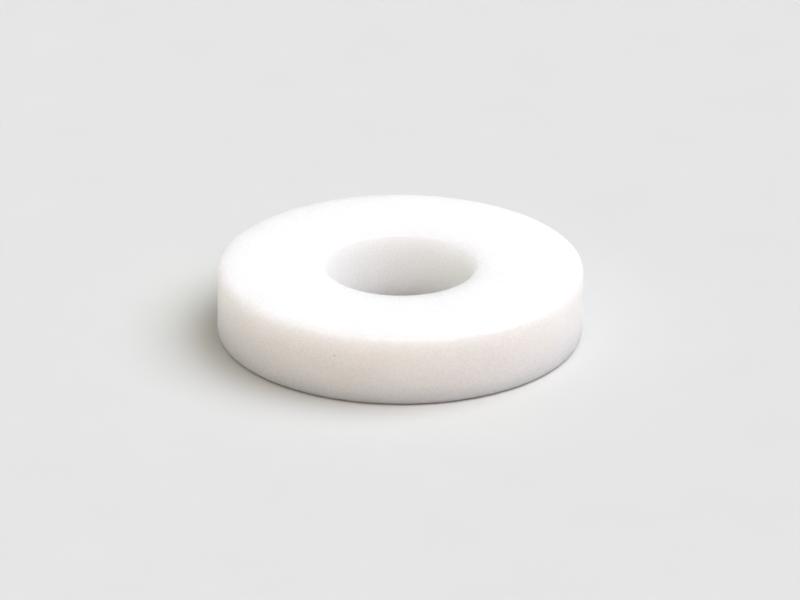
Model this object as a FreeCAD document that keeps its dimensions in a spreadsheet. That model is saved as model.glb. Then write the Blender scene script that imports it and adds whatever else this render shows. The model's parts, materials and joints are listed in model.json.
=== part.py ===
import FreeCAD, Part
import Sketcher
import os

# Flat washer: a thick moulded plastic ring with a plain bore, two flat faces and softened edges.
# Frame: millimetres, +Z up along the bore, origin at the centre of the lower (seating) face.

SHEET_NAME = "Dimensions"
OUTPUT_FOLDER = "parts"
DIAMETER_TOLERANCE = 1e-6  # how closely an edge's diameter has to match to be rounded

# Alias, value in millimetres, what it measures.
DRIVING_DIMENSIONS = [
    ("outer_diameter", 15.9, "across the outer wall"),
    ("bore_diameter", 6.5, "clearance hole for an M6 or quarter-inch screw"),
    ("thickness", 3.1, "from the seating face to the upper face"),
    ("rim_radius", 0.25, "rounding between each face and the outer wall"),
    ("bore_edge_radius", 0.12, "rounding between each face and the bore"),
]


def add_dimension_sheet(document):
    sheet = document.addObject("Spreadsheet::Sheet", SHEET_NAME)
    for row, (alias, value, meaning) in enumerate(DRIVING_DIMENSIONS, start=1):
        sheet.set(f"A{row}", meaning)
        sheet.set(f"B{row}", str(value))
        sheet.setAlias(f"B{row}", alias)
    document.recompute()
    return sheet


def bind(feature, property_path, alias):
    """The feature's property follows one cell of the dimension sheet."""
    feature.setExpression(property_path, f"{SHEET_NAME}.{alias}")


def add_body(document, label):
    body = document.addObject("PartDesign::Body", f"Body_{label}")
    body.Label = label
    return body


def origin_plane(body, role):
    return next(plane for plane in body.Origin.OriginFeatures if plane.Role == role)


def add_circle(sketch, diameter, alias):
    """A circle centred on the bore axis, with a driven diameter named after its cell."""
    circle = Part.Circle(FreeCAD.Vector(0, 0, 0), FreeCAD.Vector(0, 0, 1), diameter / 2)
    index = sketch.addGeometry(circle, False)
    sketch.addConstraint(Sketcher.Constraint("Coincident", index, 3, -1, 1))
    constraint = sketch.addConstraint(Sketcher.Constraint("Diameter", index, diameter))
    sketch.renameConstraint(constraint, alias)
    bind(sketch, f"Constraints.{alias}", alias)


def add_ring_sketch(body, sheet):
    sketch = body.newObject("Sketcher::SketchObject", "RingOutline")
    sketch.AttachmentSupport = [(origin_plane(body, "XY_Plane"), "")]
    sketch.MapMode = "FlatFace"
    for alias in ("outer_diameter", "bore_diameter"):
        add_circle(sketch, sheet.get(alias), alias)
    return sketch


def add_pad(body, sketch):
    pad = body.newObject("PartDesign::Pad", "Ring")
    pad.Profile = sketch
    bind(pad, "Length", "thickness")
    return pad


def circular_edges(feature, diameter):
    """Names of the feature's full-circle edges of that diameter."""
    names = []
    for number, edge in enumerate(feature.Shape.Edges, start=1):
        is_circle = isinstance(edge.Curve, Part.Circle) and edge.isClosed()
        if is_circle and abs(2 * edge.Curve.Radius - diameter) < DIAMETER_TOLERANCE:
            names.append(f"Edge{number}")
    return names


def add_edge_rounding(body, base, name, diameter, radius_alias):
    """Rounds the upper and the lower circular edge of one wall."""
    rounding = body.newObject("PartDesign::Fillet", name)
    rounding.Base = (base, circular_edges(base, diameter))
    bind(rounding, "Radius", radius_alias)
    return rounding


def add_washer(document, sheet):
    body = add_body(document, "washer")
    ring = add_pad(body, add_ring_sketch(body, sheet))
    document.recompute()
    rim = add_edge_rounding(body, ring, "RimRounding", sheet.get("outer_diameter"), "rim_radius")
    document.recompute()
    add_edge_rounding(body, rim, "BoreRounding", sheet.get("bore_diameter"), "bore_edge_radius")
    document.recompute()
    return body


def check_document(document, bodies):
    """Stops before anything is written if a feature failed or a body isn't one valid solid."""
    for item in document.Objects:
        if "Invalid" in item.State or "Error" in item.State:
            raise RuntimeError(f"{item.Name} failed to recompute: {item.State}")
    for body in bodies:
        shape = body.Shape
        if shape.isNull() or not shape.isValid() or len(shape.Solids) != 1:
            raise RuntimeError(f"{body.Label} isn't one valid solid")


def write_steps(bodies):
    os.makedirs(OUTPUT_FOLDER, exist_ok=True)
    for body in bodies:
        body.Shape.exportStep(os.path.join(OUTPUT_FOLDER, f"{body.Label}.step"))
        print(f"{body.Label}: {body.Shape.Volume:.2f} mm3, {len(body.Shape.Faces)} faces")


document = FreeCAD.newDocument("FlatWasher")
dimension_sheet = add_dimension_sheet(document)
bodies = [add_washer(document, dimension_sheet)]
check_document(document, bodies)
write_steps(bodies)
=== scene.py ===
import json
import math
import bpy
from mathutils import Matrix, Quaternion, Vector, noise


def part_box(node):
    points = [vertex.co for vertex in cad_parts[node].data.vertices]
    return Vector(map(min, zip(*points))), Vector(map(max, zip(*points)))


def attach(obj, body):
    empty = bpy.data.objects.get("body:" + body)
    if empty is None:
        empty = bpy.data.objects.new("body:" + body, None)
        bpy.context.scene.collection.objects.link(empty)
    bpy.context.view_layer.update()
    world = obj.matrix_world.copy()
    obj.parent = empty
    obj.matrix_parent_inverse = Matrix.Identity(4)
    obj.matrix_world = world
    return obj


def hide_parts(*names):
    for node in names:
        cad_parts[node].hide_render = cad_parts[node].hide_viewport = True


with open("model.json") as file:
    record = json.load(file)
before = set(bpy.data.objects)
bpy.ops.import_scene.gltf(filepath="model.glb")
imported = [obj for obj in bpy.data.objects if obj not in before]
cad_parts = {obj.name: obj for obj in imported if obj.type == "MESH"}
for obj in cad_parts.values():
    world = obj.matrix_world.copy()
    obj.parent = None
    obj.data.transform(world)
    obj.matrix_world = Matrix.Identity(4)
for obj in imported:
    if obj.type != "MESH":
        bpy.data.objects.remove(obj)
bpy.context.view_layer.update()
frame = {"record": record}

# One thick flat washer of natural white nylon on a pale studio floor.
# Metres, +Z up, the seating face at z = 0 and the bore along Z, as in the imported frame.

MM = 0.001
MICRON = 0.001 * MM

# ---------------------------------------------------------------- sizes from the frame
LOW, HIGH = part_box("washer")
RIM_R = (HIGH.x - LOW.x) / 2
THICKNESS = HIGH.z - LOW.z
BORE = next(mount for mount in frame["record"]["mounts"] if mount["name"] == "bore")
BORE_R = BORE["dims"]["r_mm"] * MM
BORE_EDGE_R = (THICKNESS - BORE["dims"]["length_mm"] * MM) / 2
RIM_EDGE_R = 0.25 * MM

# ---------------------------------------------------------------- mesh density
SEGMENTS_ROUND = 480
ARC_STEPS = 10
WALL_STEPS = 14
FACE_STEPS = 20
SUPPORT_GAP = 0.03 * MM

# ---------------------------------------------------------------- moulded surface
FACE_SINK = 14 * MICRON
WALL_SINK = 9 * MICRON
RIPPLES = [(3.1 * MM, 5 * MICRON), (0.9 * MM, 1.6 * MICRON)]  # wavelength, depth
WEAR_REACH = 0.45 * MM
NICK_SIZE = 0.42 * MM
NICK_DEPTH = 15 * MICRON
NICK_LIMIT = 0.1  # noise below this leaves the edge whole
FRONT_SPECK_ANGLE = math.radians(-20.5)  # from the front, towards the right
FRONT_SPECK_HEIGHT = 2.1 * MM

# ---------------------------------------------------------------- nylon
CLEARER_NYLON = (0.898, 0.893, 0.870, 1)
WHITER_NYLON = (0.992, 0.988, 0.965, 1)
AGED_TINT = (0.890, 0.847, 0.829, 1)
SCUFFED_WHITE = (0.96, 0.945, 0.93, 1)
SPECK_GREY = (0.35, 0.32, 0.28, 1)
CLOUD_SIZE = 2.4 * MM
GRAIN_SIZE = 0.09 * MM
SCUFF_SIZE = 0.5 * MM
SATIN_SIZE = 1.1 * MM
CLOUD_SHARE = 0.3
SCUFF_SHARE = 0.3
SPECK_SHARE = 0.28
MOTTLE_RANGE = (0.365, 0.635)  # the stretch of the noise that runs from clearer to whiter
SCUFF_RANGE = (0.42, 0.60)
SATIN_RANGE = (0.35, 0.65)
SPECK_CELL = 0.86 * MM  # one speck at most in each cell of this size
SPECK_CHANCE = 0.12
SPECK_FADE = (0.03, 0.06)  # distances from its centre, in cells
FRONT_SPECK_FADE = (0.02 * MM, 0.09 * MM)
YELLOWING_START = 0.94 * RIM_R
DRAW_LINE_WIDTH, DRAW_LINE_STRETCH, DRAW_LINE_DEPTH = 0.19 * MM, 16, 6 * MICRON
RING_SCALE, RING_DEPTH = 1 / (6.2 * MM), 1 * MICRON  # rings about 2 mm apart
GRAIN_DEPTH = 8 * MICRON
SATIN_ROUGHNESS = (0.44, 0.58)
WORN_ROUGHNESS = 0.12  # added where an edge is scuffed
SCATTER_DISTANCE = 3.2 * MM
SCATTER_RGB = (1.0, 0.94, 0.88)
NYLON_IOR = 1.53

# ---------------------------------------------------------------- studio floor
CARD_DARKER = (0.650, 0.664, 0.656, 1)
CARD_LIGHTER = (0.660, 0.674, 0.666, 1)
CARD_TOOTH = 4 * MM
CARD_RANGE = (0.3, 0.7)
CARD_ROUGHNESS, CARD_SPECULAR = 0.9, 0.1
FLOOR_RADIUS, FLOOR_SWEEP = 0.5, 0.35
FLOOR_RINGS, FLOOR_SWEEP_STEPS, FLOOR_SEGMENTS = 8, 24, 96
FLOOR_DROP = 0.02 * MM

# ---------------------------------------------------------------- camera
VIEW_ELEVATION = math.radians(23.86)
VIEW_ROLL = math.radians(0.3)
VIEW_DISTANCE = 40 * RIM_R
FRAME_WIDTH = 4.381 * RIM_R
AIM_HEIGHT = THICKNESS / 2 - 0.133 * MM
SENSOR_WIDTH = 36.0
CLIP_NEAR, CLIP_FAR = 0.01, 10

# ---------------------------------------------------------------- light tints
COOL_WHITE = (0.92, 0.95, 1.0)
LAVENDER = (0.70, 0.56, 1.0)
WARM = (1.0, 0.82, 0.55)
NEAR_WHITE = (0.97, 0.98, 0.94)


def straight(start, end, steps):
    """Points from start to just before end, with a support point close to each end."""
    (r0, z0), (r1, z1) = start, end
    length = math.hypot(r1 - r0, z1 - z0)
    gap = SUPPORT_GAP / length
    shares = [0.0, gap] + [gap + (1 - 2 * gap) * i / steps for i in range(1, steps + 1)]
    return [(r0 + (r1 - r0) * s, z0 + (z1 - z0) * s) for s in shares]


def quarter_arc(centre, radius, first_angle):
    """Points of a quarter turn, anticlockwise from first_angle to just before its end."""
    angles = [first_angle + math.pi / 2 * i / ARC_STEPS for i in range(ARC_STEPS)]
    return [(centre[0] + radius * math.cos(a), centre[1] + radius * math.sin(a)) for a in angles]


def half_section():
    """The closed outline (radius, height) of one side of the ring, anticlockwise."""
    inner, outer, top = BORE_R, RIM_R, THICKNESS
    small, large = BORE_EDGE_R, RIM_EDGE_R
    face_start, face_end = inner + small, outer - large
    lower_face = straight((face_start, 0), (face_end, 0), FACE_STEPS)
    lower_rim = quarter_arc((face_end, large), large, -math.pi / 2)
    outer_wall = straight((outer, large), (outer, top - large), WALL_STEPS)
    upper_rim = quarter_arc((face_end, top - large), large, 0)
    upper_face = straight((face_end, top), (face_start, top), FACE_STEPS)
    upper_bore = quarter_arc((face_start, top - small), small, math.pi / 2)
    bore_wall = straight((inner, top - small), (inner, small), WALL_STEPS)
    lower_bore = quarter_arc((face_start, small), small, math.pi)
    return (lower_face + lower_rim + outer_wall + upper_rim
            + upper_face + upper_bore + bore_wall + lower_bore)


def hollow(value, low, high):
    """0 at both ends of a stretch and 1 in its middle, level at each end."""
    share = min(max((value - low) / (high - low), 0.0), 1.0)
    return (4 * share * (1 - share)) ** 2


def edge_wear(radius, height):
    """1 at a sharp corner of the section, fading to 0 at WEAR_REACH from it."""
    corners = [(r, z) for r in (BORE_R, RIM_R) for z in (0, THICKNESS)]
    nearest = min(math.hypot(radius - r, height - z) for r, z in corners)
    return max(0.0, 1 - nearest / WEAR_REACH)


def moulded_point(radius, height, angle):
    """A point of the ring's surface, sunk by mould shrinkage, faint ripples and small nicks."""
    direction = Vector((math.sin(angle), -math.cos(angle), 0))
    point = direction * radius + Vector((0, 0, height))
    ripple = sum(depth * (0.5 + 0.5 * noise.noise(point / wavelength)) for wavelength, depth in RIPPLES)
    nick = NICK_DEPTH * edge_wear(radius, height) * max(0.0, noise.noise(point / NICK_SIZE) - NICK_LIMIT)
    face_share = hollow(radius, BORE_R + BORE_EDGE_R, RIM_R - RIM_EDGE_R)
    wall_share = hollow(height, RIM_EDGE_R, THICKNESS - RIM_EDGE_R)
    towards_middle = -1 if height > THICKNESS / 2 else 1
    outwards = 1 if radius > (BORE_R + RIM_R) / 2 else -1
    point.z += towards_middle * (face_share * (FACE_SINK + ripple) + nick)
    return point - direction * outwards * (wall_share * (WALL_SINK + ripple) + nick)


def washer_mesh():
    section = half_section()
    rows = len(section)
    vertices = []
    for turn in range(SEGMENTS_ROUND):
        angle = 2 * math.pi * turn / SEGMENTS_ROUND
        vertices += [moulded_point(radius, height, angle) for radius, height in section]
    faces = []
    for turn in range(SEGMENTS_ROUND):
        here, there = turn * rows, (turn + 1) % SEGMENTS_ROUND * rows
        for row in range(rows):
            following = (row + 1) % rows
            faces.append((here + row, there + row, there + following, here + following))
    mesh = bpy.data.meshes.new("washer_ring")
    mesh.from_pydata(vertices, [], faces)
    mesh.polygons.foreach_set("use_smooth", [True] * len(mesh.polygons))
    wear = mesh.attributes.new("edge_wear", "FLOAT", "POINT")
    wear.data.foreach_set("value", [edge_wear(r, z) for r, z in section] * SEGMENTS_ROUND)
    mesh.validate()
    return mesh


# ---------------------------------------------------------------- materials
class Nodes:
    """A new material's node tree, with short calls for the nodes that it uses."""

    def __init__(self, name):
        self.material = bpy.data.materials.new(name)
        self.material.use_nodes = True
        self.tree = self.material.node_tree
        self.shader = self.tree.nodes["Principled BSDF"]

    def link(self, output, target):
        self.tree.links.new(output, target)

    def add(self, kind, inputs=(), **properties):
        """A node with its properties set and each input linked to an output or given a value."""
        made = self.tree.nodes.new(kind)
        for name, value in properties.items():
            setattr(made, name, value)
        for name, value in dict(inputs).items():
            if isinstance(value, bpy.types.NodeSocket):
                self.link(value, made.inputs[name])
            else:
                made.inputs[name].default_value = value
        return made

    def noise(self, place, size, detail=2.0):
        """Noise around 0.5 whose largest features are about size across."""
        inputs = {"Vector": place, "Scale": 1 / size, "Detail": detail}
        return self.add("ShaderNodeTexNoise", inputs).outputs["Fac"]

    def rescale(self, value, old, new=(0, 1)):
        """value mapped from the old (low, high) to the new one, and held at the ends."""
        inputs = {"Value": value, "From Min": old[0], "From Max": old[1], "To Min": new[0], "To Max": new[1]}
        return self.add("ShaderNodeMapRange", inputs).outputs["Result"]

    def math(self, operation, first, second):
        made = self.add("ShaderNodeMath", {0: first, 1: second}, operation=operation)
        return made.outputs["Value"]

    def mix(self, share, first, second, blend="MIX"):
        """first where share is 0, and second (or its product with first) where it is 1."""
        inputs = {"Fac": share, "Color1": first, "Color2": second}
        return self.add("ShaderNodeMixRGB", inputs, blend_type=blend).outputs["Color"]

    def bump(self, height, depth, under=None):
        """The normal of a relief whose full height is depth, on top of the relief under it."""
        made = self.add("ShaderNodeBump", {"Height": height, "Distance": depth})
        if under:
            self.link(under, made.inputs["Normal"])
        return made.outputs["Normal"]


def mottle(nodes, place, grain):
    """The milky colour: soft clouds with a fine grain of clearer and whiter polymer."""
    clouds = nodes.math("MULTIPLY", nodes.noise(place, CLOUD_SIZE, detail=4), CLOUD_SHARE)
    blend = nodes.math("ADD", clouds, nodes.math("MULTIPLY", grain, 1 - CLOUD_SHARE))
    return nodes.mix(nodes.rescale(blend, MOTTLE_RANGE), CLEARER_NYLON, WHITER_NYLON)


def yellowing(nodes, place):
    """0 in the bore, rising to 1 on the outer wall, which light and hands have reached."""
    flat = nodes.add("ShaderNodeVectorMath", {0: place, 1: (1, 1, 0)}, operation="MULTIPLY")
    radius = nodes.add("ShaderNodeVectorMath", {0: flat.outputs["Vector"]}, operation="LENGTH")
    return nodes.rescale(radius.outputs["Value"], (YELLOWING_START, RIM_R))


def specks(nodes, place):
    """1 on sparse dust-sized inclusions and on the larger one at the front, else 0."""
    cells = nodes.add("ShaderNodeTexVoronoi", {"Vector": place, "Scale": 1 / SPECK_CELL})
    picked = nodes.add("ShaderNodeSeparateColor", {"Color": cells.outputs["Color"]}).outputs["Red"]
    picked = nodes.math("GREATER_THAN", picked, 1 - SPECK_CHANCE)
    spots = nodes.rescale(cells.outputs["Distance"], SPECK_FADE, (1, 0))
    spots = nodes.math("MULTIPLY", spots, picked)
    across, along = RIM_R * math.sin(FRONT_SPECK_ANGLE), -RIM_R * math.cos(FRONT_SPECK_ANGLE)
    measure = {0: place, 1: (across, along, FRONT_SPECK_HEIGHT)}
    away = nodes.add("ShaderNodeVectorMath", measure, operation="DISTANCE").outputs["Value"]
    return nodes.math("MAXIMUM", spots, nodes.rescale(away, FRONT_SPECK_FADE, (1, 0)))


def relief(nodes, place, grain):
    """Tool marks left by the mould: draw lines up the walls, rings on the faces, satin grain."""
    squeeze = {"Vector": place, "Scale": (1, 1, 1 / DRAW_LINE_STRETCH)}
    stretched = nodes.add("ShaderNodeMapping", squeeze).outputs["Vector"]
    draw_lines = nodes.noise(stretched, DRAW_LINE_WIDTH, detail=3)
    rings = nodes.add("ShaderNodeTexWave", {
        "Vector": place, "Scale": RING_SCALE, "Distortion": 1.5, "Detail": 3.0, "Detail Scale": 3.0,
    }, wave_type="RINGS", rings_direction="Z").outputs["Fac"]
    normal = nodes.bump(draw_lines, DRAW_LINE_DEPTH)
    normal = nodes.bump(rings, RING_DEPTH, normal)
    return nodes.bump(grain, GRAIN_DEPTH, normal)


def natural_nylon():
    """Translucent white nylon: milky mottled colour, satin skin, edges whitened by handling."""
    nodes = Nodes("nylon_skin")
    shader = nodes.shader
    place = nodes.add("ShaderNodeTexCoord").outputs["Object"]
    grain = nodes.noise(place, GRAIN_SIZE)
    wear = nodes.add("ShaderNodeAttribute", attribute_name="edge_wear").outputs["Fac"]
    scuffs = nodes.rescale(nodes.noise(place, SCUFF_SIZE, detail=5), SCUFF_RANGE)
    worn = nodes.math("MULTIPLY", wear, scuffs)

    colour = nodes.mix(yellowing(nodes, place), mottle(nodes, place, grain), AGED_TINT, "MULTIPLY")
    colour = nodes.mix(nodes.math("MULTIPLY", worn, SCUFF_SHARE), colour, SCUFFED_WHITE)
    colour = nodes.mix(nodes.math("MULTIPLY", specks(nodes, place), SPECK_SHARE), colour, SPECK_GREY)
    nodes.link(colour, shader.inputs["Base Color"])

    satin = nodes.rescale(nodes.noise(place, SATIN_SIZE, detail=5), SATIN_RANGE, SATIN_ROUGHNESS)
    roughness = nodes.math("ADD", satin, nodes.math("MULTIPLY", worn, WORN_ROUGHNESS))
    nodes.link(roughness, shader.inputs["Roughness"])
    nodes.link(relief(nodes, place, grain), shader.inputs["Normal"])

    shader.inputs["Subsurface Weight"].default_value = 1.0
    shader.inputs["Subsurface Radius"].default_value = SCATTER_RGB
    shader.inputs["Subsurface Scale"].default_value = SCATTER_DISTANCE
    shader.inputs["IOR"].default_value = NYLON_IOR
    return nodes.material


def pale_floor():
    """Matte studio card with a faint tooth."""
    nodes = Nodes("pale_floor")
    place = nodes.add("ShaderNodeTexCoord").outputs["Object"]
    tooth = nodes.rescale(nodes.noise(place, CARD_TOOTH, detail=6), CARD_RANGE)
    nodes.link(nodes.mix(tooth, CARD_DARKER, CARD_LIGHTER), nodes.shader.inputs["Base Color"])
    nodes.shader.inputs["Roughness"].default_value = CARD_ROUGHNESS
    nodes.shader.inputs["Specular IOR Level"].default_value = CARD_SPECULAR
    return nodes.material


# ---------------------------------------------------------------- pieces and stage
def add_object(name, data, material=None):
    made = bpy.data.objects.new(name, data)
    bpy.context.scene.collection.objects.link(made)
    if material:
        data.materials.append(material)
    return made


def add_washer():
    ring = add_object("washer_ring", washer_mesh(), natural_nylon())
    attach(ring, "root")
    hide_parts("washer")


def floor_section():
    """Points (radius, height) from the first ring out to the top of the swept-up edge."""
    flat = [(FLOOR_RADIUS * ring / FLOOR_RINGS, 0.0) for ring in range(1, FLOOR_RINGS + 1)]
    turns = [math.pi / 2 * step / FLOOR_SWEEP_STEPS for step in range(1, FLOOR_SWEEP_STEPS + 1)]
    swept = [(FLOOR_RADIUS + FLOOR_SWEEP * math.sin(t), FLOOR_SWEEP * (1 - math.cos(t))) for t in turns]
    return flat + swept


def add_floor():
    """A flat disc that sweeps up into a low wall all round, far outside the view."""
    section = floor_section()
    rows = len(section)
    vertices = [(0, 0, 0)]
    faces = []
    for turn in range(FLOOR_SEGMENTS):
        angle = 2 * math.pi * turn / FLOOR_SEGMENTS
        vertices += [(r * math.cos(angle), r * math.sin(angle), z) for r, z in section]
        here, there = 1 + turn * rows, 1 + (turn + 1) % FLOOR_SEGMENTS * rows
        faces.append((0, here, there))
        faces += [(here + i, here + i + 1, there + i + 1, there + i) for i in range(rows - 1)]
    mesh = bpy.data.meshes.new("studio_floor")
    mesh.from_pydata(vertices, [], faces)
    mesh.polygons.foreach_set("use_smooth", [True] * len(mesh.polygons))
    floor = add_object("studio_floor", mesh, pale_floor())
    floor.location.z = -FLOOR_DROP


def add_camera():
    data = bpy.data.cameras.new("photo_camera")
    data.sensor_width = SENSOR_WIDTH
    data.lens = SENSOR_WIDTH * VIEW_DISTANCE / FRAME_WIDTH
    data.clip_start = CLIP_NEAR
    data.clip_end = CLIP_FAR
    camera = add_object("photo_camera", data)
    aim = Vector((0, 0, AIM_HEIGHT))
    back = Vector((0, -math.cos(VIEW_ELEVATION), math.sin(VIEW_ELEVATION)))
    camera.location = aim + back * VIEW_DISTANCE
    level = (-back).to_track_quat("-Z", "Y")
    camera.rotation_euler = (Quaternion(back, VIEW_ROLL) @ level).to_euler()
    bpy.context.scene.camera = camera


def add_sun(name, azimuth, elevation, spread, strength, colour):
    """A soft sun from azimuth degrees (0 is the camera's side, 90 the right) above the horizon."""
    data = bpy.data.lights.new(name, "SUN")
    data.energy = strength
    data.angle = math.radians(spread)
    data.color = colour
    sun = add_object(name, data)
    a, e = math.radians(azimuth), math.radians(elevation)
    towards = Vector((math.sin(a) * math.cos(e), -math.cos(a) * math.cos(e), math.sin(e)))
    sun.rotation_euler = towards.to_track_quat("Z", "Y").to_euler()


def add_dark_world():
    """Nothing glows around the studio: the suns are the only light."""
    world = bpy.data.worlds.new("dark_studio")
    world.use_nodes = True
    world.node_tree.nodes["Background"].inputs["Strength"].default_value = 0.0
    bpy.context.scene.world = world


def add_lights():
    add_sun("key_softbox", azimuth=105, elevation=58, spread=55, strength=2.95, colour=COOL_WHITE)
    add_sun("right_fill", azimuth=50, elevation=30, spread=55, strength=0.56, colour=LAVENDER)
    add_sun("front_fill", azimuth=0, elevation=50, spread=60, strength=0.84, colour=WARM)
    add_sun("back_fill", azimuth=245, elevation=55, spread=60, strength=0.56, colour=NEAR_WHITE)
    add_dark_world()


add_camera()
add_washer()
add_floor()
add_lights()
bpy.context.scene.view_settings.view_transform = "Standard"
